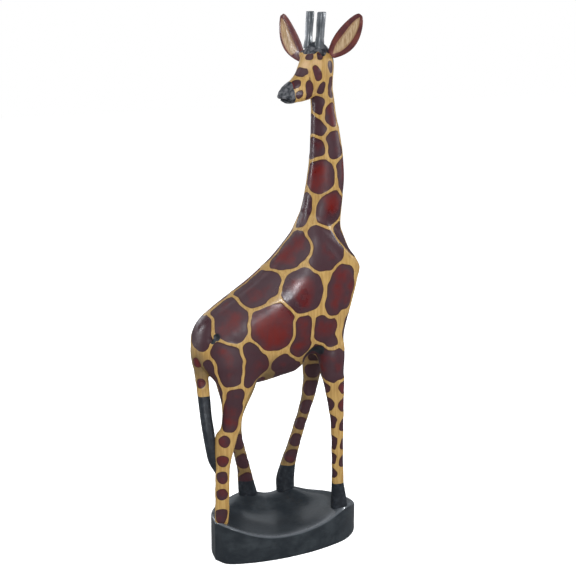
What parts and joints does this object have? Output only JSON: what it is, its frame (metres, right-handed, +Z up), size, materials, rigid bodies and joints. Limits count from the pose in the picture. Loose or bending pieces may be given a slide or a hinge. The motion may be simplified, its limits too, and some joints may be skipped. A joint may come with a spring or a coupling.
{
  "type": "carved giraffe statue",
  "caption": "Carved wooden giraffe standing on a gouged oval base, its head turned back over its shoulder, with let-in ears and horns.",
  "frame": {"origin": "middle of the base's flat underside, below the middle of the body", "axes": "+Z up towards the horns, +X the way the giraffe's body faces, +Y its left side"},
  "size_m": [0.1997, 0.1065, 0.61],
  "materials": {
    "spotted_wood": "burnt and stained reddish-brown patches on bare yellow wood, lacquered to a high gloss",
    "black_wood": "stained black and polished",
    "dowel_wood": "bare turned wood, glued"
  },
  "bodies": {
    "root": {"base": "black_wood", "torso": "spotted_wood", "neck": "spotted_wood", "head": "spotted_wood", "leg_front_right": "spotted_wood", "leg_front_left": "spotted_wood", "leg_hind_right": "spotted_wood", "leg_hind_left": "spotted_wood", "tail": "spotted_wood", "ear_left": "spotted_wood", "ear_right": "spotted_wood", "horn_left": "black_wood", "horn_right": "black_wood", "neck_dowel": "dowel_wood", "head_dowel": "dowel_wood", "hip_dowel_front_right": "dowel_wood", "hip_dowel_front_left": "dowel_wood", "hip_dowel_hind_right": "dowel_wood", "hip_dowel_hind_left": "dowel_wood", "tail_dowel": "dowel_wood", "tuft_pin": "dowel_wood"}
  },
  "joints": []
}
